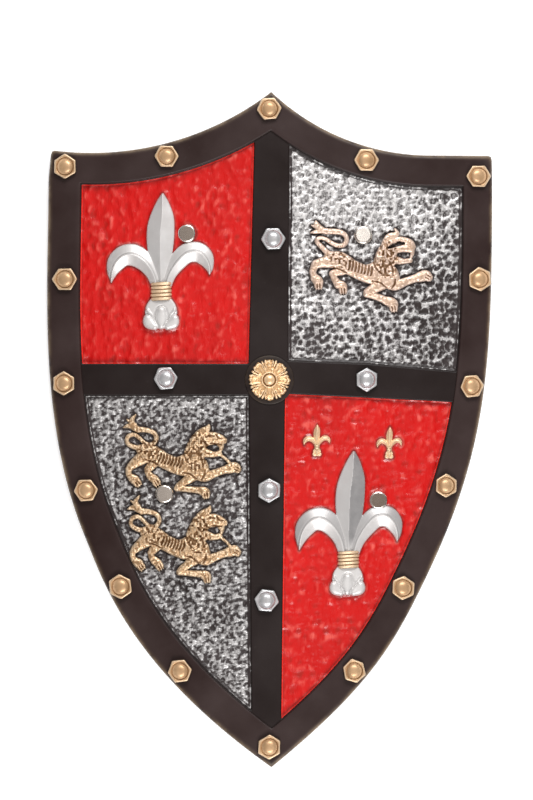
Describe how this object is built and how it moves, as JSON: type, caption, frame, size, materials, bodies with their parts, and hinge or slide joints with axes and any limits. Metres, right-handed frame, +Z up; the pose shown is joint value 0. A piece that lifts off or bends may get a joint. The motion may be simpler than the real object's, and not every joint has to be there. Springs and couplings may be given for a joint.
{
  "type": "toy heater shield",
  "caption": "Pointed, slightly curved foam dress-up shield with quartered hammered panels, raised bolts, lions and lilies, and two slack elastic arm straps on its back.",
  "frame": {"origin": "under the middle of the shield's outline, on the surface it lies on face up", "axes": "+Z up out of the painted face, +Y towards the top edge (the point is at -Y), +X to the right of the face seen from above"},
  "size_m": [0.3118, 0.4716, 0.039],
  "materials": {
    "black_foam": "satin, moulded foam painted black",
    "red_paint": "glossy red paint on hammered foam",
    "silver_paint": "silver paint brushed over black foam, satin",
    "gold_paint": "antique gold paint with a brown wash, satin",
    "nickel_caps": "bright nickel plate",
    "black_webbing": "woven elastic, matt"
  },
  "bodies": {
    "root": {"shield_body": "black_foam", "front_rivet_upper_left": "nickel_caps", "front_rivet_upper_right": "nickel_caps", "front_rivet_lower_left": "nickel_caps", "front_rivet_lower_right": "nickel_caps", "back_rivet_upper_left": "nickel_caps", "back_rivet_upper_right": "nickel_caps", "back_rivet_lower_left": "nickel_caps", "back_rivet_lower_right": "nickel_caps", "strap_upper": "black_webbing", "strap_lower": "black_webbing"}
  },
  "joints": []
}
